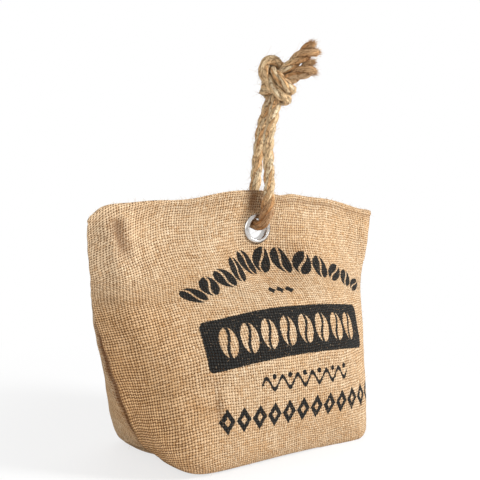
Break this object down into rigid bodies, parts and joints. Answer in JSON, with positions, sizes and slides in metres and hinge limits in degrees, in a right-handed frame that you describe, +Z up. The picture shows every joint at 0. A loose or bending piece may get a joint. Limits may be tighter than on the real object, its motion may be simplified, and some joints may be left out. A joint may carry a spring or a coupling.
{
  "type": "weighted fabric door stop",
  "caption": "Sand-filled jute sack door stop with a flat boxed base, a pinched top, a metal eyelet and a knotted rope carrying loop.",
  "frame": {"origin": "middle of the flat base, on the surface the sack stands on", "axes": "+X to the right along the top seam, seen from the printed front; +Y from the printed front to the back; +Z up"},
  "size_m": [0.24, 0.104, 0.2661],
  "materials": {
    "jute_cloth": "coarse plain-woven natural jute, matt, with a plain black screen print on the front",
    "eyelet_metal": "bright nickel plate, polished, lightly scuffed",
    "jute_rope": "three-strand twisted jute, matt, hairy, frayed at both ends"
  },
  "bodies": {
    "root": {"sack": "jute_cloth", "eyelet_front": "eyelet_metal", "eyelet_washer": "eyelet_metal", "rope_loop": "jute_rope", "rope_knot": "jute_rope"}
  },
  "joints": []
}
